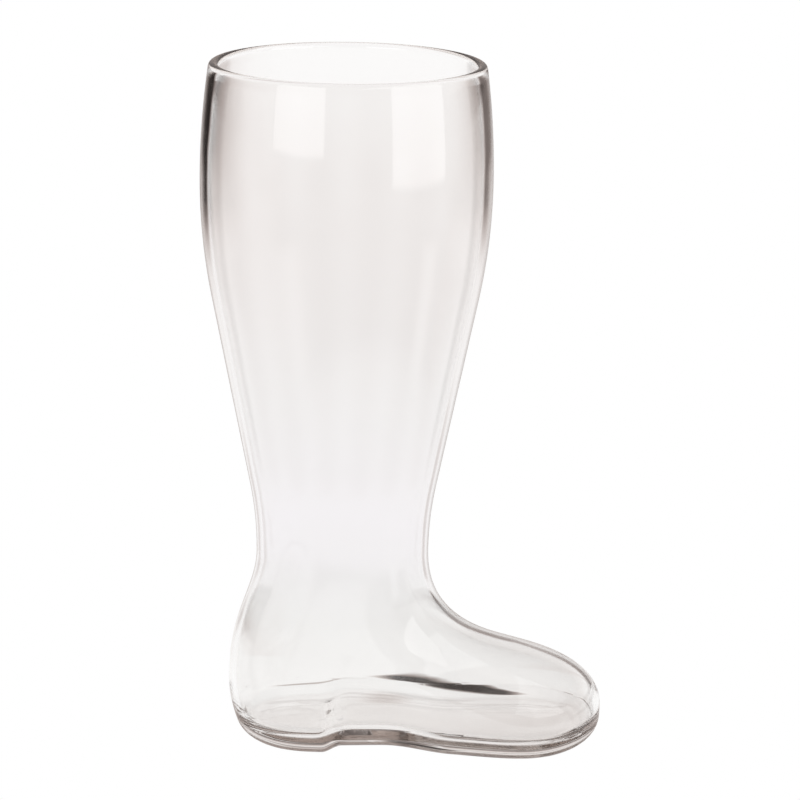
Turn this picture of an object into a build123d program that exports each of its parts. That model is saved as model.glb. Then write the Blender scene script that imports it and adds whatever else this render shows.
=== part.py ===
from build123d import *
import math
import os

os.makedirs("parts", exist_ok=True)

# Bootleg, millimetres
BOOT_HEIGHT = 300.0
RIM_RADIUS = 59.4
BELLY_RADIUS = 63.0
BELLY_HEIGHT = 250.0
BELLY_BEND = 26.1
ANKLE_RADIUS = 37.6
ANKLE_HEIGHT = 84.5
ANKLE_BEND = 15.2
RIM_WALL = 4.8
BELLY_WALL = 3.8
ANKLE_WALL = 2.8
RIM_BAND = 9.0
RIM_ROUND = 1.8

# Side view of the foot, reaches measured from the axis of the leg
HEEL_REACH = 49.6
HEEL_HEIGHT = 27.0
HEEL_TUCK = 7.0
HEEL_SWELL = 29.0
HEEL_HOLLOW = 18.0
TOE_REACH = 114.7
TOE_HEIGHT = 16.0
TOE_TUCK = 1.3
TOE_SWELL = 15.0
VAMP_REACH = 78.0
VAMP_HEIGHT = 41.8
VAMP_SLOPE = 13.0
VAMP_SWELL = 17.6
INSTEP_SWEEP = 26.0
INSTEP_HOLLOW = 24.0

# Plan of the foot
HEEL_WIDTH = 74.0
WAIST_WIDTH = 71.0
BALL_WIDTH = 84.5
VAMP_WIDTH = 62.0
HEEL_ROUND = 37.6
TOE_ROUND = 41.7
VAMP_ROUND = 21.0
SOLE_TUCK = 1.5

# Base below the mould seam
SEAM_HEEL_HEIGHT = 15.5
SEAM_TOE_HEIGHT = 10.6
SOLE_ROUND = 11.5
HEEL_LENGTH = 46.3
SHANK_LIFT = 3.0
SHANK_FLAT = 22.0
SHANK_LENGTH = 52.0
FLOOR_HEIGHT = 8.0
FLOOR_ROUND = 6.5
BRIDGE_LIFT = 3.5
BRIDGE_SETBACK = 2.0
BRIDGE_SLANT = 3.0

# Shares of the way up the foot where its sections are drawn, and points on each section
OUTSIDE_SHARES = (0.0, 0.06, 0.13, 0.21, 0.29, 0.37, 0.45, 0.53, 0.61, 0.70, 0.80, 0.90, 1.0)
INSIDE_SHARES = (0.21, 0.29, 0.37, 0.45, 0.53, 0.61, 0.70, 0.80, 0.90, 1.0)
SECTION_POINTS = 24

# The leg stands over the heel so that the whole boot is centred on the origin
LEG_X = (BELLY_RADIUS - TOE_REACH) / 2
BREAST_X = LEG_X - HEEL_REACH + HEEL_LENGTH

# Straight run of the leg's taper, between its bends at the ankle and the belly
TAPER_RUN = BELLY_HEIGHT - ANKLE_HEIGHT - ANKLE_BEND - BELLY_BEND


def taper_ends(ankle_wall, belly_wall):
    """Lower and upper end of the straight taper, on the wall's face this far in from the outside."""
    ankle = ANKLE_RADIUS - ankle_wall
    belly = BELLY_RADIUS - belly_wall
    lean = math.atan2(belly - ankle, TAPER_RUN)
    lower = (ankle + ANKLE_BEND * math.sin(lean), ANKLE_HEIGHT + ANKLE_BEND * (1 + math.cos(lean)))
    upper = (belly - BELLY_BEND * math.sin(lean), BELLY_HEIGHT - BELLY_BEND * (1 + math.cos(lean)))
    return lower, upper


# Side view of the foot: the heel's back and the toe's front, each from the table up to the ankle
slope = math.radians(VAMP_SLOPE)
vamp = Vector(LEG_X + VAMP_REACH, VAMP_HEIGHT)
along_vamp = Vector(math.cos(slope), -math.sin(slope))
toe_edge = Vector(LEG_X + TOE_REACH - TOE_TUCK, 0)
toe_tip = Vector(LEG_X + TOE_REACH, TOE_HEIGHT)
ankle_front = Vector(LEG_X + ANKLE_RADIUS, ANKLE_HEIGHT)
heel_edge = Vector(LEG_X - HEEL_REACH + HEEL_TUCK, 0)
heel_back = Vector(LEG_X - HEEL_REACH, HEEL_HEIGHT)
ankle_back = Vector(LEG_X - ANKLE_RADIUS, ANKLE_HEIGHT)
up = Vector(0, 1)

with BuildLine() as front_line:
    toe_side = Bezier(toe_edge, (toe_edge + toe_tip) / 2 + Vector(TOE_TUCK / 2, 0), toe_tip)
    toe_cap = Bezier(toe_tip, toe_tip + up * TOE_SWELL, vamp + along_vamp * VAMP_SWELL, vamp)
    Bezier(vamp, vamp - along_vamp * INSTEP_SWEEP, ankle_front - up * INSTEP_HOLLOW, ankle_front)

with BuildLine() as back_line:
    Bezier(heel_edge, (heel_edge + heel_back) / 2 - Vector(HEEL_TUCK / 2, 0), heel_back)
    Bezier(heel_back, heel_back + up * HEEL_SWELL, ankle_back - up * HEEL_HOLLOW, ankle_back)

front = front_line.wire()
back = back_line.wire()
WELT_SHARE = toe_side.length / front.length
VAMP_SHARE = (toe_side.length + toe_cap.length) / front.length


def eased(share, *stops):
    """Value at a share of the way up, easing between stops given as (share, value)."""
    for (start, low), (end, high) in zip(stops, stops[1:]):
        if share <= end:
            part = (share - start) / (end - start)
            return low + (high - low) * part * part * (3 - 2 * part)
    return stops[-1][1]


def outline(half_length, share, inset):
    """Closed plan of the foot at a share of the way up, narrowed at the waist, round at heel and toe."""
    quarter = math.sqrt(3) / 2
    edge = SOLE_TUCK
    ankle = ANKLE_RADIUS
    waist = eased(share, (0, WAIST_WIDTH / 2 - edge), (WELT_SHARE, WAIST_WIDTH / 2), (1, ankle)) - inset
    heel = eased(share, (0, HEEL_WIDTH / 2 - edge), (WELT_SHARE, HEEL_WIDTH / 2), (1, ankle * quarter))
    ball = eased(
        share,
        (0, BALL_WIDTH / 2 - edge),
        (WELT_SHARE, BALL_WIDTH / 2),
        (VAMP_SHARE, VAMP_WIDTH / 2),
        (1, ankle * quarter),
    )
    heel_round = eased(share, (0, HEEL_ROUND - edge), (WELT_SHARE, HEEL_ROUND), (1, ankle)) - inset
    toe_round = eased(
        share,
        (0, TOE_ROUND - edge),
        (WELT_SHARE, TOE_ROUND),
        (VAMP_SHARE, VAMP_ROUND),
        (1, ankle),
    ) - inset
    heel = heel / quarter - inset
    ball = ball / quarter - inset
    heel_tip = math.sqrt(heel_round * half_length)
    toe_tip_width = math.sqrt(toe_round * half_length)
    even_tip = (toe_tip_width + heel_tip) / 2
    odd_tip = (toe_tip_width - heel_tip) / 2
    even_side = (ball + heel) / 2
    odd_side = (ball - heel) / 2
    first = (8 * odd_side - odd_tip) / 3
    second = (16 * even_side - even_tip - 15 * waist) / 3
    third = odd_tip - first
    fourth = even_tip - waist - second
    points = []
    for step in range(SECTION_POINTS):
        angle = 2 * math.pi * step / SECTION_POINTS
        place = math.sin(angle)
        width = waist + place * (first + place * (second + place * (third + place * fourth)))
        points.append((half_length * place, -math.cos(angle) * width))
    return Edge.make_spline(points, periodic=True, parameters=list(range(SECTION_POINTS + 1)))


def section(share, inset):
    """Plane and plan of one section, through the same share of the heel's back and the toe's front."""
    lead = front.tangent_at(share)
    trail = back.tangent_at(share)
    toe_end = front.position_at(share) - Vector(lead.Y, -lead.X) * inset
    heel_end = back.position_at(share) - Vector(-trail.Y, trail.X) * inset
    return level(heel_end, toe_end), outline((toe_end - heel_end).length / 2, share, inset)


def level(heel_end, toe_end):
    """Plane across the boot through a heel point and a toe point of the side view."""
    middle = (heel_end + toe_end) / 2
    run = toe_end - heel_end
    return Plane((middle.X, 0, middle.Y), x_dir=(run.X, 0, run.Y), z_dir=(-run.Y, 0, run.X))


def floor_section():
    """Plane and plan of the floor inside the foot."""
    toe_end = Vector(front.position_at(WELT_SHARE).X - ANKLE_WALL, FLOOR_HEIGHT)
    heel_end = Vector(back.position_at(WELT_SHARE).X + ANKLE_WALL, FLOOR_HEIGHT)
    return level(heel_end, toe_end), outline((toe_end - heel_end).length / 2, WELT_SHARE, ANKLE_WALL)


outside_sections = [section(share, 0) for share in OUTSIDE_SHARES]
inside_sections = [floor_section()] + [section(share, ANKLE_WALL) for share in INSIDE_SHARES]

# The foot's outside, from the table to the ankle, with the sole's edge rounded
with BuildPart() as foot_outside:
    for plane, plan in outside_sections:
        with BuildSketch(plane):
            with BuildLine():
                add(plan)
            make_face()
    loft()
    sole_edge = foot_outside.edges().sort_by(Axis.Z)[0]
    fillet(sole_edge, SOLE_ROUND)

# Glass raised over the shank inside, which leaves a shallow pool over the heel
with BuildPart() as bridge:
    with BuildSketch(Plane.XZ):
        with BuildLine():
            Polyline(
                (BREAST_X + BRIDGE_SETBACK - BRIDGE_SLANT, FLOOR_HEIGHT - BRIDGE_LIFT),
                (BREAST_X + BRIDGE_SETBACK + BRIDGE_SLANT, FLOOR_HEIGHT + BRIDGE_LIFT),
                (BREAST_X + SHANK_FLAT, FLOOR_HEIGHT + BRIDGE_LIFT),
                (BREAST_X + 2 * SHANK_LENGTH - SHANK_FLAT, FLOOR_HEIGHT - BRIDGE_LIFT),
                close=True,
            )
        make_face()
    extrude(amount=BALL_WIDTH, both=True)

# The hollow of the foot, down to the floor
with BuildPart() as foot_inside:
    for plane, plan in inside_sections:
        with BuildSketch(plane):
            with BuildLine():
                add(plan)
            make_face()
    loft()
    floor_edge = foot_inside.edges().sort_by(Axis.Z)[0]
    fillet(floor_edge, FLOOR_ROUND)
    add(bridge.part, mode=Mode.SUBTRACT)

# Space under the shank: level behind, running out to the table at the ball
with BuildPart() as arch:
    with BuildSketch(Plane.XZ):
        with BuildLine():
            Polyline(
                (BREAST_X - SHANK_LIFT, -SHANK_LIFT),
                (BREAST_X - SHANK_LIFT, SHANK_LIFT),
                (BREAST_X + SHANK_FLAT, SHANK_LIFT),
                (BREAST_X + 2 * SHANK_LENGTH - SHANK_FLAT, -SHANK_LIFT),
                close=True,
            )
        make_face()
    extrude(amount=BALL_WIDTH, both=True)

# One side of the foot's glass, before it is divided at the mould seam and the heel breast
with BuildPart() as shoe_side:
    add(foot_outside.part)
    add(foot_inside.part, mode=Mode.SUBTRACT)
    split(bisect_by=Plane.XZ, keep=Keep.BOTTOM)

seam = level(
    Vector(LEG_X - HEEL_REACH, SEAM_HEEL_HEIGHT),
    Vector(LEG_X + TOE_REACH, SEAM_TOE_HEIGHT),
)
breast = Plane((BREAST_X, 0, 0), x_dir=(0, 1, 0), z_dir=(1, 0, 0))

with BuildPart() as foot:
    add(shoe_side.part)
    split(bisect_by=seam, keep=Keep.TOP)
    mirror(about=Plane.XZ)
foot.part.label = "foot"

with BuildPart() as sole:
    add(shoe_side.part)
    split(bisect_by=breast, keep=Keep.TOP)
    split(bisect_by=seam, keep=Keep.BOTTOM)
    add(arch.part, mode=Mode.SUBTRACT)
    mirror(about=Plane.XZ)
sole.part.label = "sole"

with BuildPart() as heel:
    add(shoe_side.part)
    split(bisect_by=breast, keep=Keep.BOTTOM)
    split(bisect_by=seam, keep=Keep.BOTTOM)
    mirror(about=Plane.XZ)
heel.part.label = "heel"

# The leg and the rim, one turned wall cut level under the lip
leg_axis = Axis((LEG_X, 0, 0), (0, 0, 1))
leg_side = Plane((LEG_X, 0, 0), x_dir=(1, 0, 0), z_dir=(0, -1, 0))

outer_lower, outer_upper = taper_ends(0, 0)
inner_lower, inner_upper = taper_ends(ANKLE_WALL, BELLY_WALL)
outer_ankle = (ANKLE_RADIUS, ANKLE_HEIGHT)
inner_ankle = (ANKLE_RADIUS - ANKLE_WALL, ANKLE_HEIGHT)
outer_belly = (BELLY_RADIUS, BELLY_HEIGHT)
inner_belly = (BELLY_RADIUS - BELLY_WALL, BELLY_HEIGHT)
outer_lip = (RIM_RADIUS, BOOT_HEIGHT)
inner_lip = (RIM_RADIUS - RIM_WALL, BOOT_HEIGHT)

with BuildPart() as bootleg:
    with BuildSketch(leg_side) as wall_profile:
        with BuildLine():
            TangentArc(outer_belly, outer_lip, tangent=(0, 1))
            Line(outer_lip, inner_lip)
            TangentArc(inner_belly, inner_lip, tangent=(0, 1))
            TangentArc(inner_belly, inner_upper, tangent=(0, -1))
            Line(inner_upper, inner_lower)
            TangentArc(inner_ankle, inner_lower, tangent=(0, 1))
            Line(inner_ankle, outer_ankle)
            TangentArc(outer_ankle, outer_lower, tangent=(0, 1))
            Line(outer_lower, outer_upper)
            TangentArc(outer_belly, outer_upper, tangent=(0, -1))
        make_face()
        fillet(wall_profile.vertices().group_by(Axis.Y)[-1], RIM_ROUND)
    revolve(axis=leg_axis)

lip_joint = Plane.XY.offset(BOOT_HEIGHT - RIM_BAND)

with BuildPart() as leg:
    add(bootleg.part)
    split(bisect_by=lip_joint, keep=Keep.BOTTOM)
leg.part.label = "leg"

with BuildPart() as rim:
    add(bootleg.part)
    split(bisect_by=lip_joint, keep=Keep.TOP)
rim.part.label = "rim"

for piece in (rim, leg, foot, sole, heel):
    export_step(piece.part, f"parts/{piece.part.label}.step")
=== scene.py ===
import math
from bisect import bisect_left

import bmesh
import bpy
from mathutils import Matrix, Vector, noise
from mathutils.geometry import interpolate_bezier


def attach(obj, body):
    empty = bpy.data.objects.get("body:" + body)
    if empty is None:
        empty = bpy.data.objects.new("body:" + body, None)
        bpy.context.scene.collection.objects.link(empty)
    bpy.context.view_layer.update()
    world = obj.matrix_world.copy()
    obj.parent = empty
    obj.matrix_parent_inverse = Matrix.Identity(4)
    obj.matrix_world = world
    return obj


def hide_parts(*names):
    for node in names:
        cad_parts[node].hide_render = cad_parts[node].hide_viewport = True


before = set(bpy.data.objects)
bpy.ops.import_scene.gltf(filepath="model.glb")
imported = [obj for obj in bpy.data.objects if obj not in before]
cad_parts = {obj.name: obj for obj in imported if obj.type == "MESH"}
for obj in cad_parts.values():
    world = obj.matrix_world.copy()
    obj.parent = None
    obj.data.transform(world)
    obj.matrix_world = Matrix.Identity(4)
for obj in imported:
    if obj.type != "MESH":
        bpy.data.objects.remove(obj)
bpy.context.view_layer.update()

MM = 0.001

# Bootleg, millimetres
BOOT_HEIGHT = 300.0
RIM_RADIUS = 59.4
BELLY_RADIUS = 63.0
BELLY_HEIGHT = 250.0
BELLY_BEND = 26.1
ANKLE_RADIUS = 37.6
ANKLE_HEIGHT = 84.5
ANKLE_BEND = 15.2
RIM_WALL = 4.8
BELLY_WALL = 3.8
ANKLE_WALL = 2.8
LIP_ROUND = 2.3

# Side view of the foot, reaches measured from the axis of the leg
HEEL_REACH = 49.6
HEEL_HEIGHT = 27.0
HEEL_TUCK = 7.0
HEEL_SWELL = 29.0
HEEL_HOLLOW = 18.0
TOE_REACH = 114.7
TOE_HEIGHT = 16.0
TOE_TUCK = 1.3
TOE_SWELL = 15.0
VAMP_REACH = 78.0
VAMP_HEIGHT = 41.8
VAMP_SLOPE = 13.0
VAMP_SWELL = 17.6
INSTEP_SWEEP = 26.0
INSTEP_HOLLOW = 24.0

# Plan of the foot
HEEL_WIDTH = 74.0
WAIST_WIDTH = 71.0
BALL_WIDTH = 84.5
VAMP_WIDTH = 62.0
HEEL_ROUND = 37.6
TOE_ROUND = 41.7
VAMP_ROUND = 21.0
SOLE_TUCK = 1.5

# Base of the boot, outside and inside
SEAM_HEEL_HEIGHT = 15.5
SEAM_TOE_HEIGHT = 10.6
SEAM_PROUD = 0.18
SEAM_WIDTH = 0.9
SOLE_ROUND = 11.5
HEEL_LENGTH = 46.3
BREAST_SOFT = 8.5
SHANK_LIFT = 3.0
SHANK_FLAT = 22.0
SHANK_LENGTH = 52.0
FLOOR_HEIGHT = 8.0
FLOOR_ROUND = 6.5
FLOOR_JOIN = 0.21
BRIDGE_LIFT = 3.5
BRIDGE_SOFT = 16.0
BRIDGE_TOP = 24.0

# Rings of the glass: steps round the boot and along each stretch of its skin, shares and small steps
ROUND_STEPS = 384
BOW_STEPS = 160
ANKLE_STEPS = 8
TAPER_STEPS = 8
BELLY_STEPS = 12
MOUTH_STEPS = 12
LIP_STEPS = 6
SIDE_STEPS = 40
EDGE_STEPS = 10
BASE_STEPS = 12
INSIDE_STEPS = 34
JOIN_STEPS = 6
FLOOR_STEPS = 12
EDGE_SAMPLES = 60
EDGE_SHARE = 0.2
SPINE_SHARE = 0.6
PULL_SHARE = 2 / 3
MERGE = 1e-7
NUDGE = MERGE ** 0.5

# Unevenness of the blown inner skin
RIPPLE = 0.16
RIPPLE_LENGTH = 34.0

# Sizes that follow from those above
LEG_X = (BELLY_RADIUS - TOE_REACH) / 2
BREAST_X = LEG_X - HEEL_REACH + HEEL_LENGTH
TAPER_RUN = BELLY_HEIGHT - ANKLE_HEIGHT - ANKLE_BEND - BELLY_BEND
INNER_ANKLE = ANKLE_RADIUS - ANKLE_WALL
INNER_BELLY = BELLY_RADIUS - BELLY_WALL
INNER_LIP = RIM_RADIUS - RIM_WALL
MOUTH_RISE = BOOT_HEIGHT - BELLY_HEIGHT
RING_NEAR = ANKLE_WALL / 3


def smooth(low, high, value):
    """Ease from 0 at low to 1 at high."""
    part = min(max((value - low) / (high - low), 0.0), 1.0)
    return part * part * (3 - 2 * part)


def spaced(start, end, steps):
    """Even steps from start to end, both included."""
    return [start + (end - start) * step / steps for step in range(steps + 1)]


def spin_round(bm, centre, steps):
    """Spin all that is drawn in a mesh a full turn round an upright axis, and close it."""
    drawn = bm.verts[:] + bm.edges[:]
    turn = 2 * math.pi
    bmesh.ops.spin(bm, geom=drawn, cent=centre, axis=(0, 0, 1), angle=turn, steps=steps, use_merge=True)


# The leg's wall

def mouth_sweep(belly, lip):
    """Radius of the bow that the wall makes between the belly and the mouth."""
    draw = belly - lip
    return (MOUTH_RISE ** 2 + draw ** 2) / (2 * draw)


def mouth_radius(height, belly, lip):
    """Radius of one face of the wall between the belly and the mouth."""
    sweep = mouth_sweep(belly, lip)
    return belly - sweep + math.sqrt(sweep ** 2 - (height - BELLY_HEIGHT) ** 2)


def wall_line(ankle, belly, lip):
    """Radius and height up one face of the leg's wall, from the ankle to just under the lip."""
    taper = math.atan2(belly - ankle, TAPER_RUN)
    ankle_sweep = ANKLE_BEND / math.tan(taper / 2)
    belly_sweep = BELLY_BEND / math.tan(taper / 2)
    line = []
    for angle in spaced(0.0, taper, ANKLE_STEPS):
        radius = ankle + ankle_sweep * (1 - math.cos(angle))
        line.append(Vector((radius, ANKLE_HEIGHT + ankle_sweep * math.sin(angle))))
    bend = []
    for angle in spaced(taper, 0.0, BELLY_STEPS):
        radius = belly - belly_sweep * (1 - math.cos(angle))
        bend.append(Vector((radius, BELLY_HEIGHT - belly_sweep * math.sin(angle))))
    taper_start = line[-1]
    for share in spaced(0.0, 1.0, TAPER_STEPS)[1:-1]:
        line.append(taper_start.lerp(bend[0], share))
    line.extend(bend)
    for height in spaced(BELLY_HEIGHT, BOOT_HEIGHT - LIP_ROUND, MOUTH_STEPS)[1:-1]:
        line.append(Vector((mouth_radius(height, belly, lip), height)))
    return line


def lip_line():
    """Radius and height over the fire-polished lip, from the outside to the inside."""
    height = BOOT_HEIGHT - LIP_ROUND
    outer_lean = math.asin((height - BELLY_HEIGHT) / mouth_sweep(BELLY_RADIUS, RIM_RADIUS))
    inner_lean = math.asin((height - BELLY_HEIGHT) / mouth_sweep(INNER_BELLY, INNER_LIP))
    outer = mouth_radius(height, BELLY_RADIUS, RIM_RADIUS) - LIP_ROUND / math.cos(outer_lean)
    inner = mouth_radius(height, INNER_BELLY, INNER_LIP) + LIP_ROUND / math.cos(inner_lean)
    line = []
    for angle in spaced(outer_lean, math.pi / 2, LIP_STEPS):
        line.append(Vector((outer + LIP_ROUND * math.cos(angle), height + LIP_ROUND * math.sin(angle))))
    for angle in spaced(math.pi / 2, math.pi + inner_lean, LIP_STEPS):
        line.append(Vector((inner + LIP_ROUND * math.cos(angle), height + LIP_ROUND * math.sin(angle))))
    return line


def spin_leg(bm):
    """Draw the wall's profile on the near side and spin it round the leg's axis."""
    outside = wall_line(ANKLE_RADIUS, BELLY_RADIUS, RIM_RADIUS)
    inside = wall_line(INNER_ANKLE, INNER_BELLY, INNER_LIP)
    line = outside + lip_line() + inside[::-1]
    corner = bm.verts.new((LEG_X, -line[0].x, line[0].y))
    for point in line[1:]:
        drawn = bmesh.ops.extrude_vert_indiv(bm, verts=[corner])
        corner = drawn["verts"][0]
        corner.co = (LEG_X, -point.x, point.y)
    spin_round(bm, (LEG_X, 0, 0), ROUND_STEPS)


def ankle_ring(bm, radius):
    """Open ring of the leg at the ankle, in order round the boot from the near side."""
    ring = {}
    for vert in bm.verts:
        reach = math.hypot(vert.co.x - LEG_X, vert.co.y)
        if abs(vert.co.z - ANKLE_HEIGHT) < RING_NEAR and abs(reach - radius) < RING_NEAR:
            if any(len(edge.link_faces) == 1 for edge in vert.link_edges):
                turn = math.atan2(vert.co.x - LEG_X, -vert.co.y) / (2 * math.pi)
                ring[round(turn * ROUND_STEPS) % ROUND_STEPS] = vert
    return [ring[step] for step in range(ROUND_STEPS)]


# The foot's side view and plan

def bow(start, start_pull, end_pull, end):
    """Points of one curve of the side view."""
    return interpolate_bezier(start, start_pull, end_pull, end, BOW_STEPS)


def soft_bow(start, pull, end):
    """Points of a side-view curve that has one pull, shared by both ends."""
    return bow(start, start.lerp(pull, PULL_SHARE), end.lerp(pull, PULL_SHARE), end)


def measured(*bows):
    """A side line's points, the share of its length at each, and its direction at each."""
    points = list(bows[0])
    for part in bows[1:]:
        points.extend(part[1:])
    reach = [0.0]
    for before, after in zip(points, points[1:]):
        reach.append(reach[-1] + (after - before).length)
    last = len(points) - 1
    ways = []
    for index in range(len(points)):
        ways.append((points[min(index + 1, last)] - points[max(index - 1, 0)]).normalized())
    return [length / reach[-1] for length in reach], points, ways


UP = Vector((0, 1))
VAMP_WAY = Vector((math.cos(math.radians(VAMP_SLOPE)), -math.sin(math.radians(VAMP_SLOPE))))
vamp = Vector((LEG_X + VAMP_REACH, VAMP_HEIGHT))
toe_edge = Vector((LEG_X + TOE_REACH - TOE_TUCK, 0))
toe_tip = Vector((LEG_X + TOE_REACH, TOE_HEIGHT))
ankle_front = Vector((LEG_X + ANKLE_RADIUS, ANKLE_HEIGHT))
heel_edge = Vector((LEG_X - HEEL_REACH + HEEL_TUCK, 0))
heel_back = Vector((LEG_X - HEEL_REACH, HEEL_HEIGHT))
ankle_back = Vector((LEG_X - ANKLE_RADIUS, ANKLE_HEIGHT))

front_line = measured(
    soft_bow(toe_edge, (toe_edge + toe_tip) / 2 + Vector((TOE_TUCK / 2, 0)), toe_tip),
    bow(toe_tip, toe_tip + UP * TOE_SWELL, vamp + VAMP_WAY * VAMP_SWELL, vamp),
    bow(vamp, vamp - VAMP_WAY * INSTEP_SWEEP, ankle_front - UP * INSTEP_HOLLOW, ankle_front),
)
back_line = measured(
    soft_bow(heel_edge, (heel_edge + heel_back) / 2 - Vector((HEEL_TUCK / 2, 0)), heel_back),
    bow(heel_back, heel_back + UP * HEEL_SWELL, ankle_back - UP * HEEL_HOLLOW, ankle_back),
)
WELT_SHARE = front_line[0][BOW_STEPS - 1]
VAMP_SHARE = front_line[0][2 * (BOW_STEPS - 1)]


def walk(line, share):
    """Point of a side line at a share of its length, and the line's direction there."""
    shares, points, ways = line
    index = min(max(bisect_left(shares, share), 1), len(shares) - 1)
    part = (share - shares[index - 1]) / (shares[index] - shares[index - 1])
    return points[index - 1].lerp(points[index], part), ways[index - 1].lerp(ways[index], part)


def eased(share, *stops):
    """Value at a share of the way up, easing between stops given as (share, value)."""
    for (start, low), (end, high) in zip(stops, stops[1:]):
        if share <= end:
            return low + (high - low) * smooth(start, end, share)
    return stops[-1][1]


def half_width(half_length, share, inset, place):
    """Half the foot's width at a place from -1 at the heel to 1 at the toe, a share of the way up."""
    # Width of a circle half way from its middle to its end
    half_way = math.sqrt(3) / 2
    edge = SOLE_TUCK
    ankle = ANKLE_RADIUS
    welt = WELT_SHARE
    waist = eased(share, (0, WAIST_WIDTH / 2 - edge), (welt, WAIST_WIDTH / 2), (1, ankle)) - inset
    heel = eased(share, (0, HEEL_WIDTH / 2 - edge), (welt, HEEL_WIDTH / 2), (1, ankle * half_way))
    ball_stops = ((0, BALL_WIDTH / 2 - edge), (welt, BALL_WIDTH / 2), (VAMP_SHARE, VAMP_WIDTH / 2))
    ball = eased(share, *ball_stops, (1, ankle * half_way))
    heel_round = eased(share, (0, HEEL_ROUND - edge), (welt, HEEL_ROUND), (1, ankle)) - inset
    toe_stops = ((0, TOE_ROUND - edge), (welt, TOE_ROUND), (VAMP_SHARE, VAMP_ROUND))
    toe_round = eased(share, *toe_stops, (1, ankle)) - inset
    heel = heel / half_way - inset
    ball = ball / half_way - inset
    heel_width = math.sqrt(heel_round * half_length)
    toe_width = math.sqrt(toe_round * half_length)
    # Curve of the fourth power through the waist, the widths half way to the ends, and the ends
    even_tip = (toe_width + heel_width) / 2
    odd_tip = (toe_width - heel_width) / 2
    even_side = (ball + heel) / 2
    odd_side = (ball - heel) / 2
    first = (8 * odd_side - odd_tip) / 3
    second = (16 * even_side - even_tip - 15 * waist) / 3
    third = odd_tip - first
    fourth = even_tip - waist - second
    return waist + place * (first + place * (second + place * (third + place * fourth)))


def plan_point(heel_end, toe_end, share, inset, angle):
    """Point of a section between a heel point and a toe point, at an angle round from the near side."""
    middle = (heel_end + toe_end) / 2
    half_run = (toe_end - heel_end) / 2
    place = math.sin(angle)
    spot = middle + half_run * place
    return Vector((spot.x, -math.cos(angle) * half_width(half_run.length, share, inset, place), spot.y))


def wall_point(share, inset, angle):
    """Point of the foot's wall at a share of the way up to the ankle."""
    toe_end, lead = walk(front_line, share)
    heel_end, trail = walk(back_line, share)
    toe_end = toe_end - Vector((lead.y, -lead.x)) * inset
    heel_end = heel_end - Vector((-trail.y, trail.x)) * inset
    return plan_point(heel_end, toe_end, share, inset, angle)


def floor_point(angle):
    """Corner of the floor inside the foot, before it is rounded."""
    toe_end = Vector((walk(front_line, WELT_SHARE)[0].x - ANKLE_WALL, FLOOR_HEIGHT))
    heel_end = Vector((walk(back_line, WELT_SHARE)[0].x + ANKLE_WALL, FLOOR_HEIGHT))
    return plan_point(heel_end, toe_end, WELT_SHARE, ANKLE_WALL, angle)


def outer_side(part, angle):
    """Outside of the foot, from the table up through the sole's edge."""
    return wall_point(part * EDGE_SHARE, 0.0, angle)


def inner_side(part, angle):
    """Inside of the foot, from the corner of the floor up to the wall."""
    low = floor_point(angle)
    high = wall_point(FLOOR_JOIN, ANKLE_WALL, angle)
    above = wall_point(FLOOR_JOIN + NUDGE, ANKLE_WALL, angle)
    pull = (high - low).length / 3
    low_pull = low + Vector((0, 0, pull))
    high_pull = high - (above - high).normalized() * pull
    rest = 1 - part
    return (
        low * rest ** 3
        + low_pull * 3 * part * rest ** 2
        + high_pull * 3 * part ** 2 * rest
        + high * part ** 3
    )


def rolled_edge(side, radius, steps, angle):
    """Where the side ends and the points of a ball of this radius rolled round the edge below it."""
    turn = 2 * math.pi / ROUND_STEPS
    corner = side(0.0, angle)
    along = side(0.0, angle + turn) - side(0.0, angle - turn)
    outward = Vector((along.y, -along.x, 0)).normalized()
    across = Vector((-outward.y, outward.x, 0))
    centre = None
    for part in spaced(0.0, 1.0, EDGE_SAMPLES):
        offset = side(part, angle) - corner
        drop = offset.z - radius
        if abs(drop) < radius:
            seat = offset.dot(outward) - math.sqrt(radius ** 2 - drop ** 2)
            if centre is None or seat < centre:
                centre = seat
                touch = offset
                touch_part = part
    lean = math.atan2(touch.z - radius, touch.dot(outward) - centre)
    edge = []
    for step in range(1, steps + 1):
        share = step / steps
        tilt = lean + (-math.pi / 2 - lean) * share
        out = outward * (centre + radius * math.cos(tilt))
        slide = across * touch.dot(across) * (1 - share)
        edge.append(corner + out + slide + Vector((0, 0, radius + radius * math.sin(tilt))))
    return touch_part, edge


def fill_line(edge_point, middle_x, steps):
    """Points from the edge of a flat base in to the spine along its middle."""
    spine = Vector((middle_x + (edge_point.x - middle_x) * SPINE_SHARE, 0, edge_point.z))
    return [edge_point.lerp(spine, share) for share in spaced(0.0, 1.0, steps)[1:]]


def outside_line(angle):
    """Points down the outside of the foot, round the sole's edge and in under the base."""
    touch, edge = rolled_edge(outer_side, SOLE_ROUND, EDGE_STEPS, angle)
    points = [wall_point(share, 0.0, angle) for share in spaced(1.0, touch * EDGE_SHARE, SIDE_STEPS)[1:]]
    middle_x = (toe_edge.x + heel_edge.x) / 2
    return points + edge + fill_line(edge[-1], middle_x, BASE_STEPS)


def inside_line(angle):
    """Points down the inside of the foot, round the floor's edge and in over the floor."""
    touch, edge = rolled_edge(inner_side, FLOOR_ROUND, EDGE_STEPS, angle)
    points = [wall_point(share, ANKLE_WALL, angle) for share in spaced(1.0, FLOOR_JOIN, INSIDE_STEPS)[1:]]
    points += [inner_side(part, angle) for part in spaced(1.0, touch, JOIN_STEPS)[1:]]
    middle_x = (toe_edge.x + heel_edge.x) / 2
    return points + edge + fill_line(edge[-1], middle_x, FLOOR_STEPS)


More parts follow.
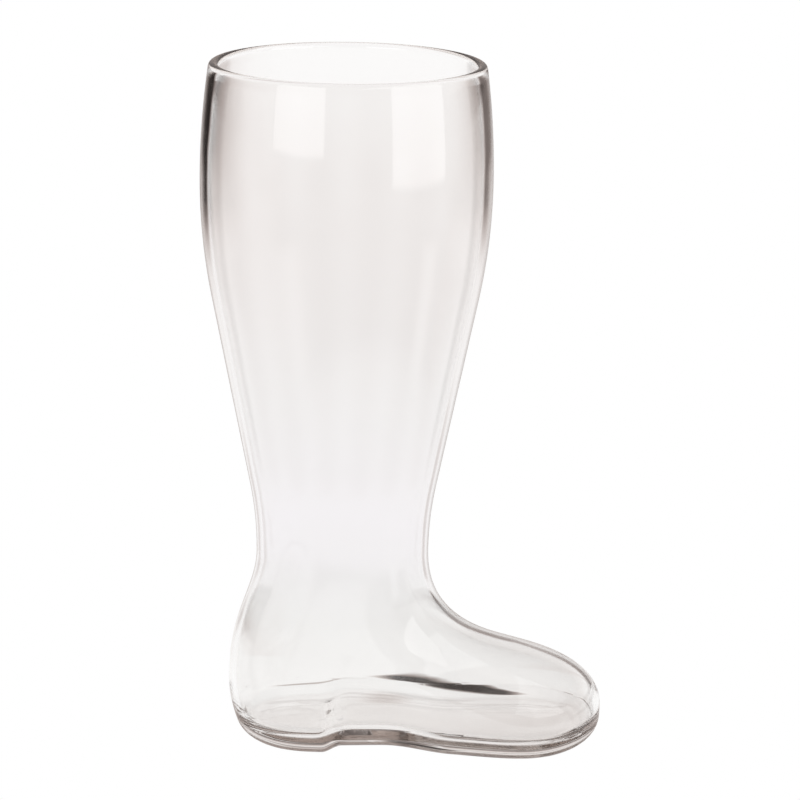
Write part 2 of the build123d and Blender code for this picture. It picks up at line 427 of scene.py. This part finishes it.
def extrude_ring(bm, ring, places):
    """Extrude a closed ring of the skin to new places, and return the new ring in the same order."""
    edges = [bm.edges.get((ring[step - 1], ring[step])) for step in range(len(ring))]
    made = bmesh.ops.extrude_edge_only(bm, edges=edges)["geom"]
    fresh = {item for item in made if isinstance(item, bmesh.types.BMVert)}
    next_ring = []
    for vert, place in zip(ring, places):
        partner = next(edge.other_vert(vert) for edge in vert.link_edges if edge.other_vert(vert) in fresh)
        partner.co = place
        next_ring.append(partner)
    return next_ring


def extrude_foot(bm, ring, line_at):
    """Extrude one skin of the foot down from the ankle, and close it along its spine."""
    lines = [line_at(2 * math.pi * step / ROUND_STEPS) for step in range(ROUND_STEPS)]
    verts = []
    for places in zip(*lines):
        ring = extrude_ring(bm, ring, places)
        verts.extend(ring)
    bmesh.ops.remove_doubles(bm, verts=ring, dist=NUDGE)
    return [vert for vert in verts if vert.is_valid]


def score(bm, verts, top, point, normal):
    """Cut edges where a plane meets the skin below a height; return the new vertices and all of them."""
    around = [face for vert in verts for face in vert.link_faces]
    faces = dict.fromkeys(face for face in around if face.calc_center_median().z < top)
    edges = dict.fromkeys(edge for face in faces for edge in face.edges)
    corners = dict.fromkeys(vert for face in faces for vert in face.verts)
    geom = [*faces, *edges, *corners]
    cut = bmesh.ops.bisect_plane(bm, geom=geom, dist=MERGE, plane_co=point, plane_no=normal)["geom_cut"]
    line = [item for item in cut if isinstance(item, bmesh.types.BMVert)]
    return line, list(dict.fromkeys(verts + line))


def shank_lift(x):
    """Height of the arch under the shank, behind the ball and ahead of the heel."""
    rise = smooth(BREAST_X - BREAST_SOFT / 2, BREAST_X + BREAST_SOFT / 2, x)
    fall = smooth(BREAST_X + SHANK_FLAT, BREAST_X + SHANK_LENGTH, x)
    return SHANK_LIFT * rise * (1 - fall)


def bridge_lift(x):
    """Height that the floor inside gains over the shank, ahead of the pool over the heel."""
    rise = smooth(BREAST_X - BRIDGE_SOFT / 2, BREAST_X + BRIDGE_SOFT / 2, x)
    fall = smooth(BREAST_X + SHANK_FLAT, BREAST_X + SHANK_LENGTH, x)
    return BRIDGE_LIFT * rise * (1 - fall)


def raise_base(verts, lift, low, high):
    """Lift a base by a height that varies along the boot, running out up its rounded edge."""
    for vert in verts:
        vert.co.z += lift(vert.co.x) * (1 - smooth(low, high, vert.co.z))


def mark_seam(bm, verts):
    """Raise the fine mould seam round the base of the foot."""
    heel = Vector((LEG_X - HEEL_REACH, 0, SEAM_HEEL_HEIGHT))
    toe = Vector((LEG_X + TOE_REACH, 0, SEAM_TOE_HEIGHT))
    run = (toe - heel).normalized()
    normal = Vector((-run.z, 0, run.x))
    top = HEEL_HEIGHT
    for side in (-1, 1):
        verts = score(bm, verts, top, heel + normal * side * SEAM_WIDTH / 2, normal)[1]
    crest, verts = score(bm, verts, top, heel, normal)
    bm.normal_update()
    for vert in crest:
        vert.co += vert.normal * SEAM_PROUD
    return verts


def ripple(verts):
    """Give the blown inner skin its slight unevenness, fading out at the lip."""
    for vert in verts:
        fade = smooth(BOOT_HEIGHT, BOOT_HEIGHT - RIPPLE_LENGTH, vert.co.z)
        wave = noise.noise(vert.co / RIPPLE_LENGTH)
        vert.co += vert.normal * RIPPLE * wave * fade


def model_boot():
    """One closed skin of glass: leg, lip, foot, base and the hollow inside."""
    bm = bmesh.new()
    spin_leg(bm)
    outside = extrude_foot(bm, ankle_ring(bm, ANKLE_RADIUS), outside_line)
    outside = mark_seam(bm, outside)
    raise_base(outside, shank_lift, 0.0, SOLE_ROUND)
    inside = extrude_foot(bm, ankle_ring(bm, INNER_ANKLE), inside_line)
    raise_base(inside, bridge_lift, FLOOR_HEIGHT, BRIDGE_TOP)
    bmesh.ops.recalc_face_normals(bm, faces=bm.faces[:])
    ripple(inside)
    bmesh.ops.scale(bm, vec=(MM, MM, MM), verts=bm.verts[:])
    for face in bm.faces:
        face.smooth = True
    mesh = bpy.data.meshes.new("boot_glass")
    bm.to_mesh(mesh)
    bm.free()
    boot = bpy.data.objects.new("boot_glass", mesh)
    bpy.context.collection.objects.link(boot)
    return boot


# Glass: its faint tint at heights above the table in millimetres, made lighter or darker by height as
# painted light and shade, its body, its polish and its waves
TINTS_AND_PAINTED_SHADE = (
    (0.0, (0.962, 0.957, 0.950)),
    (35.0, (0.962, 0.957, 0.950)),
    (60.0, (0.922, 0.919, 0.913)),
    (90.0, (0.954, 0.942, 0.952)),
    (150.0, (0.945, 0.937, 0.934)),
    (200.0, (0.946, 0.930, 0.924)),
    (250.0, (0.957, 0.942, 0.935)),
    (300.0, (0.978, 0.970, 0.965)),
)
GLASS_INDEX = 1.5
BODY_COLOUR = (0.78, 0.72, 0.68, 1)
BODY_DENSITY = 5.0
WAVE_SCALE = 45.0
WAVE_DETAIL = 1.0
DULLEST_POLISH = 0.012
BUMP_STRENGTH = 0.10
BUMP_DEPTH = 0.0004


def node(material, kind, **values):
    """Add a shader node and set its sockets by name."""
    made = material.node_tree.nodes.new(kind)
    for name, value in values.items():
        made.inputs[name.replace("_", " ")].default_value = value
    return made


def blown_glass():
    """Clear fire-polished glass with the faint waves that blowing leaves, its tint made lighter or darker
    by height as painted light and shade.
    """
    material = bpy.data.materials.new("clear_blown_glass")
    material.use_nodes = True
    links = material.node_tree.links
    shader = material.node_tree.nodes["Principled BSDF"]
    shader.inputs["Transmission Weight"].default_value = 1.0
    shader.inputs["IOR"].default_value = GLASS_INDEX
    place = node(material, "ShaderNodeTexCoord")
    height = node(material, "ShaderNodeSeparateXYZ")
    links.new(place.outputs["Object"], height.inputs["Vector"])
    share = node(material, "ShaderNodeMapRange", From_Min=0.0, From_Max=BOOT_HEIGHT * MM)
    links.new(height.outputs["Z"], share.inputs["Value"])
    # Painted light and shade: this ramp of the tint makes the glass lighter or darker by height
    tint = node(material, "ShaderNodeValToRGB")
    links.new(share.outputs["Result"], tint.inputs["Fac"])
    for stop in TINTS_AND_PAINTED_SHADE[1:-1]:
        tint.color_ramp.elements.new(stop[0] / BOOT_HEIGHT)
    for element, (stop, colour) in zip(tint.color_ramp.elements, TINTS_AND_PAINTED_SHADE):
        element.position = stop / BOOT_HEIGHT
        element.color = (*colour, 1)
    links.new(tint.outputs["Color"], shader.inputs["Base Color"])
    body = node(material, "ShaderNodeVolumeAbsorption", Color=BODY_COLOUR, Density=BODY_DENSITY)
    links.new(body.outputs["Volume"], material.node_tree.nodes["Material Output"].inputs["Volume"])
    waves = node(material, "ShaderNodeTexNoise", Scale=WAVE_SCALE, Detail=WAVE_DETAIL)
    links.new(place.outputs["Object"], waves.inputs["Vector"])
    polish = node(material, "ShaderNodeMapRange", To_Min=0.0, To_Max=DULLEST_POLISH)
    links.new(waves.outputs["Fac"], polish.inputs["Value"])
    links.new(polish.outputs["Result"], shader.inputs["Roughness"])
    bump = node(material, "ShaderNodeBump", Strength=BUMP_STRENGTH, Distance=BUMP_DEPTH)
    links.new(waves.outputs["Fac"], bump.inputs["Height"])
    links.new(bump.outputs["Normal"], shader.inputs["Normal"])
    return material


boot = model_boot()
boot.data.materials.append(blown_glass())
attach(boot, "root")
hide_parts("rim", "leg", "foot", "sole", "heel")

# Stage tones, from 0 for black to 1 for the white of the table, and the warmth of the middle tones
MORE_RED = 0.055
LESS_BLUE = 0.020
ROOM_TONE = 0.15
LEFT_TONE = 0.80
BACK_TONE = 0.42
HIGH_SKY = 0.10
MIRRORED_SKY = 0.45
OVERHEAD = 0.45

# How dark each card of the stage is, from 0 to 1
LEFT_CARD = 0.98
RIGHT_CARD = 0.84
NEAR_CARD = 0.08
ANKLE_CARD = 0.42
SIDE_CARD = 0.35
WALL_DARK = 0.75
WALL_FRONT = 0.15

# Reaches from the middle of the boot and drops below it, metres, with a pair where a tone eases in or out
FLOOR_SIZE = 20.0
FLOOR_DROP = 0.0004
RING_DROP = 0.0003
SHADOW_DROP = 0.0002
TABLE_REACH = 0.10
TABLE_EDGE = (0.28, 0.315)
TABLE_SIDE = (0.62, 0.85)
ANKLE_START = (0.18, 0.24)
ANKLE_END = (0.36, 0.52)
CARD_START = 0.68
CARD_END = 1.26
SIDE_START = 1.0
SHOULDER_END = 2.00
ROOM_REACH = 6.0

# Degrees above the table
WALL_FOOT = (0.0, 2.0)
WALL_TOP = (8.0, 10.0)
CARD_TOP = (2.0, 6.0)
SKY_RISE = (10.0, 30.0)
OVERHEAD_RISE = (56.0, 66.0)
ROOM_TOP = 89.0

# Degrees round from straight behind the boot
SHOULDER_TURN = (4, 24)
CORE_TURN = (16, 29)
NEAR_TURN = (22, 32)
CARD_FADE = (34, 41)
ANKLE_TURN = (25, 32)
ANKLE_FADE = (34, 41)
DIM_FADE = (20, 34)
WALL_TURN = (45, 75)
SIDE_TURN = 45
FRONT_TURN = (80, 100)

# Degrees round from the camera, less than 0 to the left, for the room and the near edge of the table
LEFT_ROOM = (-64, -48)
NEAR_EDGE_START = (-46, -32)
NEAR_EDGE_STOP = (58, 66)
NEAR_EDGE_AGAIN = (70, 78)

# Shadows on the table, millimetres
SHADOW_MARGIN = 75.0
SHADOW_STEP = 1.5
SHADOW_TONE = 0.925
SHADOW_EDGE = 9.0
TOE_SHADOW = 0.13
TOE_SHADOW_EDGE = 65.0
# Painted shade: a soft dark spot on the table under the shank, its middle, length, width and darkness
SHADE_SPOT = (-7.0, 29.0)
SHADE_SPOT_LENGTH = 15.0
SHADE_SPOT_WIDTH = 7.0
SHADE_SPOT_DARK = 0.35
CONTACT_DARK = 0.55
CONTACT_REACH = 70.0

# Soft boxes and ceiling panel, metres
BOX_SOFT = 0.05
BOX_DISTANCE = 0.55
BOX_TOP = 0.60
BOX_LIGHT = 2.05
PANEL_SIZE = (1.03, 3.4, 1)
PANEL_PLACE = (0.935, -1.3, 1.05)
PANEL_LIGHT = 1.4

# Steps and shares of the stage's meshes
ROOM_STEPS = 180
PROFILE_STEPS = 60
SIDE_CARDS = 8
BOX_STEPS = 24
GRID_HALF = 0.5
# Strips of painted shadow: their steps, rows, the soft share at their edges and the height kept at their
# tips
PAINTED_SHADOW_STEPS = 32
PAINTED_SHADOW_ROWS = 8
PAINTED_SHADOW_SOFT = 0.6
PAINTED_SHADOW_TIP = 0.06


def plain_light(name, strength=1.0):
    """Material that gives an even light, for a table or a card."""
    material = bpy.data.materials.new(name)
    material.use_nodes = True
    shader = material.node_tree.nodes["Principled BSDF"]
    shader.inputs["Base Color"].default_value = (0, 0, 0, 1)
    shader.inputs["Specular IOR Level"].default_value = 0.0
    shader.inputs["Emission Color"].default_value = (1, 1, 1, 1)
    shader.inputs["Emission Strength"].default_value = strength
    material.cycles.emission_sampling = "NONE"
    return material


def painted_light(name, bm, tone_at, strength=1.0):
    """Paint a mesh with the tone at each place, warm in the middle tones, and return its material."""
    paint = bm.verts.layers.float_color.new("tone")
    for vert in bm.verts:
        tone = tone_at(vert.co)
        lean = max(4 * tone * (1 - tone), 0.0)
        vert[paint] = (tone + MORE_RED * lean, tone, tone - LESS_BLUE * lean, 1)
    material = plain_light(name, strength)
    tones = node(material, "ShaderNodeAttribute")
    tones.attribute_name = "tone"
    shader = material.node_tree.nodes["Principled BSDF"]
    material.node_tree.links.new(tones.outputs["Color"], shader.inputs["Emission Color"])
    return material


def stage_piece(name, bm, material):
    """Make a piece of the studio, which is no part of the boot."""
    mesh = bpy.data.meshes.new(name)
    bm.to_mesh(mesh)
    bm.free()
    piece = bpy.data.objects.new(name, mesh)
    bpy.context.collection.objects.link(piece)
    mesh.materials.append(material)
    return piece


def seen_by(piece, glossy=False, transmission=False):
    """Say which rays meet a piece of the studio; the camera sees none of these and none casts a shadow."""
    piece.visible_camera = False
    piece.visible_glossy = glossy
    piece.visible_transmission = transmission
    piece.visible_diffuse = False
    piece.visible_shadow = False


def add_table():
    """White table under and round the boot."""
    bm = bmesh.new()
    bmesh.ops.create_grid(bm, x_segments=1, y_segments=1, size=FLOOR_SIZE)
    bmesh.ops.translate(bm, vec=(0, 0, -FLOOR_DROP), verts=bm.verts[:])
    stage_piece("table", bm, plain_light("pale_table"))


def add_room(name, tone_at):
    """Floor and walls right round the table, spun from their profile and painted from light to dark."""
    bm = bmesh.new()
    profile = [Vector((reach, -RING_DROP)) for reach in spaced(TABLE_REACH, SHOULDER_END, PROFILE_STEPS)]
    for height in spaced(0.0, ROOM_TOP, PROFILE_STEPS):
        turn = math.radians(height)
        profile.append(Vector((ROOM_REACH * math.cos(turn), ROOM_REACH * math.sin(turn) - RING_DROP)))
    corner = bm.verts.new((0, profile[0].x, profile[0].y))
    for point in profile[1:]:
        corner = bmesh.ops.extrude_vert_indiv(bm, verts=[corner])["verts"][0]
        corner.co = (0, point.x, point.y)
    spin_round(bm, (0, 0, 0), ROOM_STEPS)
    return stage_piece(name, bm, painted_light(name, bm, tone_at))


def azimuth_of(place):
    """Degrees round from straight behind the boot, either way."""
    return abs(math.degrees(math.atan2(place.x, place.y)))


def reach_of(place):
    """Distance of a place from the upright line through the middle of the boot."""
    return math.hypot(place.x, place.y)


def height_of(place):
    """Degrees of a place above the table, seen from the middle of the boot."""
    return math.degrees(math.atan2(place.z, reach_of(place)))


def sky_tone(place):
    """Tone of the walls: bright near the level of the table, darker overhead."""
    return 1 + (HIGH_SKY - 1) * smooth(*SKY_RISE, height_of(place))


def back_tone(place, card_share):
    """Tone behind the boot: a bright gap between two dark cards, softer towards the gap and the table."""
    azimuth = azimuth_of(place)
    reach = reach_of(place)
    shoulder = smooth(*SHOULDER_TURN, azimuth) * smooth(CARD_START, SHOULDER_END, reach)
    core = smooth(*CORE_TURN, azimuth) * smooth(CARD_START, CARD_END, reach)
    near = smooth(*NEAR_TURN, azimuth) * NEAR_CARD
    card = LEFT_CARD if place.x < 0 else RIGHT_CARD
    dark = max(max(shoulder, core) * card, near) * card_share
    low = 1 - smooth(*CARD_TOP, height_of(place))
    return sky_tone(place) * (1 - dark * low)


def side_tone(azimuth, reach):
    """Tone of the weaker cards that stand round the sides and the front."""
    if azimuth <= SIDE_TURN:
        return 1.0
    wave = (1 - math.cos(math.radians(SIDE_CARDS * azimuth))) / 2
    return 1 - SIDE_CARD * wave * smooth(SIDE_START, SHOULDER_END, reach)


def wall_tone(azimuth, height):
    """Tone of the low wall round the room, weaker in front."""
    low_wall = smooth(*WALL_FOOT, height) * (1 - smooth(*WALL_TOP, height))
    return 1 - low_wall * (WALL_DARK + (WALL_FRONT - WALL_DARK) * smooth(*WALL_TURN, azimuth))


def ankle_tone(azimuth, reach):
    """Tone of the small cards on the table that draw fine lines down the ankle's edges."""
    ring = smooth(*ANKLE_START, reach) * (1 - smooth(*ANKLE_END, reach))
    return 1 - ANKLE_CARD * ring * smooth(*ANKLE_TURN, azimuth) * (1 - smooth(*ANKLE_FADE, azimuth))


def behind_tone(place):
    """Tone of the room seen through the glass: cards behind, weaker ones at the sides and a lit ceiling."""
    azimuth = azimuth_of(place)
    reach = reach_of(place)
    height = height_of(place)
    back = back_tone(place, 1 - smooth(*CARD_FADE, azimuth))
    room = back * side_tone(azimuth, reach) * wall_tone(azimuth, height) * ankle_tone(azimuth, reach)
    return room + OVERHEAD * smooth(*OVERHEAD_RISE, height)


def reflected_tone(place):
    """Tone of the room mirrored in the glass: cards behind, and a dark room past the table in front."""
    azimuth = azimuth_of(place)
    reach = reach_of(place)
    bearing = math.degrees(math.atan2(place.x, -place.y))
    near_edge = smooth(*NEAR_EDGE_START, bearing) * (1 - smooth(*NEAR_EDGE_STOP, bearing))
    near_edge += smooth(*NEAR_EDGE_AGAIN, bearing)
    past_edge = smooth(*TABLE_EDGE, reach) * near_edge
    past_side = smooth(*TABLE_SIDE, reach)
    room = LEFT_TONE + (ROOM_TONE - LEFT_TONE) * smooth(*LEFT_ROOM, bearing)
    front = 1 - (1 - room) * max(past_edge, past_side)
    dim = smooth(TABLE_REACH, 2 * TABLE_REACH, reach) * (1 - smooth(*DIM_FADE, azimuth))
    glow = MIRRORED_SKY * smooth(*SKY_RISE, height_of(place))
    back = back_tone(place, 1.0) * (1 - (1 - BACK_TONE) * dim) + glow
    return back + (front - back) * smooth(*FRONT_TURN, azimuth)


def sole_reach(x, y):
    """About how far a place on the table lies outside the outline of the sole, in millimetres."""
    middle = (toe_edge.x + heel_edge.x) / 2
    half_run = (toe_edge.x - heel_edge.x) / 2
    part = (x - middle) / half_run
    if abs(part) >= 1:
        # Past its ends the outline curves away, so half of the way across counts too
        return abs(x - middle) - half_run + abs(y) / 2
    return abs(y) - half_width(half_run, 0.0, 0.0, part) * math.sqrt(1 - part * part)


def shadow_tone(place):
    """Tone of the table under the boot, all painted shadow: dim within the sole, round the toe and in one
    soft dark spot under the far side of the shank.
    """
    x = place.x / MM
    y = place.y / MM
    reach = sole_reach(x, y)
    under = (1 - SHADOW_TONE) * (1 - smooth(0, SHADOW_EDGE, reach))
    toe_side = TOE_SHADOW * smooth(0, TOE_REACH, x) * (1 - smooth(0, TOE_SHADOW_EDGE, reach))
    away = math.hypot((x - SHADE_SPOT[0]) / SHADE_SPOT_LENGTH, (y - SHADE_SPOT[1]) / SHADE_SPOT_WIDTH)
    return 1 - under - toe_side - SHADE_SPOT_DARK * (1 - smooth(0, 1, away))


def contact_tone(place):
    """Tone of the table round the boot as the foot mirrors it: dim where the sole meets it."""
    return 1 - CONTACT_DARK * (1 - smooth(0, CONTACT_REACH, sole_reach(place.x / MM, place.y / MM)))


def add_shadow(name, tone_at, **rays):
    """Soft shadow on the table that the boot stands in, met only by some rays."""
    bm = bmesh.new()
    half_run = (toe_edge.x - heel_edge.x) / 2 + SHADOW_MARGIN
    half_across = BALL_WIDTH / 2 + SHADOW_MARGIN
    steps = (round(2 * half_run / SHADOW_STEP), round(2 * half_across / SHADOW_STEP))
    bmesh.ops.create_grid(bm, x_segments=steps[0], y_segments=steps[1], size=1.0)
    bmesh.ops.scale(bm, vec=(half_run * MM, half_across * MM, 1), verts=bm.verts[:])
    middle = (toe_edge.x + heel_edge.x) / 2 * MM
    bmesh.ops.translate(bm, vec=(middle, 0, -SHADOW_DROP), verts=bm.verts[:])
    seen_by(stage_piece(name, bm, painted_light(name, bm, tone_at)), **rays)


def painted_shadow_cover(place):
    """Share of the light that a strip of painted shadow takes at a place on it, less towards its ends and
    edges.
    """
    return (1 - smooth(PAINTED_SHADOW_SOFT, 1, abs(place.y))) * (1 - smooth(PAINTED_SHADOW_SOFT, 1, abs(place.x)))


def add_painted_shadow_strip(name, start, end, sag, depth, dark):
    """Dark strip of painted shadow standing close to the foot, tapered to both ends, for the glass to pick
    up.
    """
    bm = bmesh.new()
    bmesh.ops.create_grid(bm, x_segments=PAINTED_SHADOW_STEPS, y_segments=PAINTED_SHADOW_ROWS, size=1.0)
    material = painted_light(name, bm, lambda place: 1 - dark * painted_shadow_cover(place))
    for vert in bm.verts:
        swell = 1 - vert.co.x ** 2
        middle = start.lerp(end, (vert.co.x + 1) / 2) + sag * swell
        rise = depth * (PAINTED_SHADOW_TIP + (1 - PAINTED_SHADOW_TIP) * swell) * vert.co.y
        vert.co = (middle + Vector((0, 0, rise))) * MM
    seen_by(stage_piece(name, bm, material), transmission=True)


def box_tone(place):
    """Tone of a soft box at a place on it, fading out at its edges."""
    across = smooth(GRID_HALF, GRID_HALF - BOX_SOFT, abs(place.x))
    return across * smooth(GRID_HALF, GRID_HALF - BOX_SOFT, abs(place.y))


def add_soft_box(name, azimuth, width, low):
    """Soft box standing beside the table at an azimuth from the camera, facing the leg."""
    bm = bmesh.new()
    bmesh.ops.create_grid(bm, x_segments=BOX_STEPS, y_segments=BOX_STEPS, size=GRID_HALF)
    material = painted_light(name, bm, box_tone, BOX_LIGHT)
    bmesh.ops.scale(bm, vec=(width, BOX_TOP - low, 1), verts=bm.verts[:])
    turn = Matrix.Translation((LEG_X * MM, 0, 0)) @ Matrix.Rotation(math.radians(azimuth), 4, "Z")
    lift = Matrix.Translation((0, -BOX_DISTANCE, (low + BOX_TOP) / 2))
    stand = turn @ lift @ Matrix.Rotation(math.pi / 2, 4, "X")
    bmesh.ops.transform(bm, matrix=stand, verts=bm.verts[:])
    seen_by(stage_piece(name, bm, material), glossy=True)


def add_ceiling_panel():
    """Long soft panel overhead, to the right of the boot and in front of it."""
    bm = bmesh.new()
    bmesh.ops.create_grid(bm, x_segments=1, y_segments=1, size=GRID_HALF)
    bmesh.ops.scale(bm, vec=PANEL_SIZE, verts=bm.verts[:])
    bmesh.ops.translate(bm, vec=PANEL_PLACE, verts=bm.verts[:])
    seen_by(stage_piece("ceiling_panel", bm, plain_light("ceiling_panel", PANEL_LIGHT)), glossy=True)


add_table()
seen_by(add_room("room_reflected", reflected_tone), glossy=True)
seen_by(add_room("room_behind", behind_tone), transmission=True)
add_shadow("sole_shadow", shadow_tone, transmission=True)
add_shadow("mirrored_shadow", contact_tone, glossy=True)
# Strips of painted shadow just behind the far side of the foot, one along the waist and ball and one along
# the heel, seen only through the glass
add_painted_shadow_strip(
    "far_painted_shadow",
    start=Vector((-17, 45, 11.6)),
    end=Vector((64, 52, -1.8)),
    sag=Vector((0, 0, 2.2)),
    depth=4.2,
    dark=0.97,
)
add_painted_shadow_strip(
    "heel_painted_shadow",
    start=Vector((-64, 37, 8)),
    end=Vector((-11, 45, 10.4)),
    sag=Vector((0, 5, -2.2)),
    depth=0.8,
    dark=0.5,
)
add_soft_box("left_soft_box", azimuth=-36, width=0.42, low=0.225)
add_soft_box("right_soft_box", azimuth=57, width=0.475, low=0.170)
add_ceiling_panel()

world = bpy.data.worlds.new("studio")
bpy.context.scene.world = world
world.use_nodes = True
world.node_tree.nodes["Background"].inputs["Color"].default_value = (HIGH_SKY, HIGH_SKY, HIGH_SKY, 1)

# Camera, metres and degrees, and the bounces that light needs to pass through the glass
CAMERA_PLACE = Vector((-0.00158, -1.65, 0.5586))
CAMERA_TILT = 13.834
CAMERA_ROLL = 0.862
CAMERA_LENS = 175.9
SENSOR_WIDTH = 36.0
BOUNCES = 96

camera_data = bpy.data.cameras.new("camera")
camera_data.lens = CAMERA_LENS
camera_data.sensor_width = SENSOR_WIDTH
camera = bpy.data.objects.new("camera", camera_data)
bpy.context.collection.objects.link(camera)
pitch = Matrix.Rotation(math.radians(90 - CAMERA_TILT), 4, "X")
roll = Matrix.Rotation(math.radians(CAMERA_ROLL), 4, "Z")
camera.matrix_world = Matrix.Translation(CAMERA_PLACE) @ pitch @ roll
bpy.context.scene.camera = camera

scene = bpy.context.scene
scene.view_settings.view_transform = "Standard"
scene.cycles.max_bounces = BOUNCES
scene.cycles.transmission_bounces = BOUNCES
scene.cycles.glossy_bounces = BOUNCES
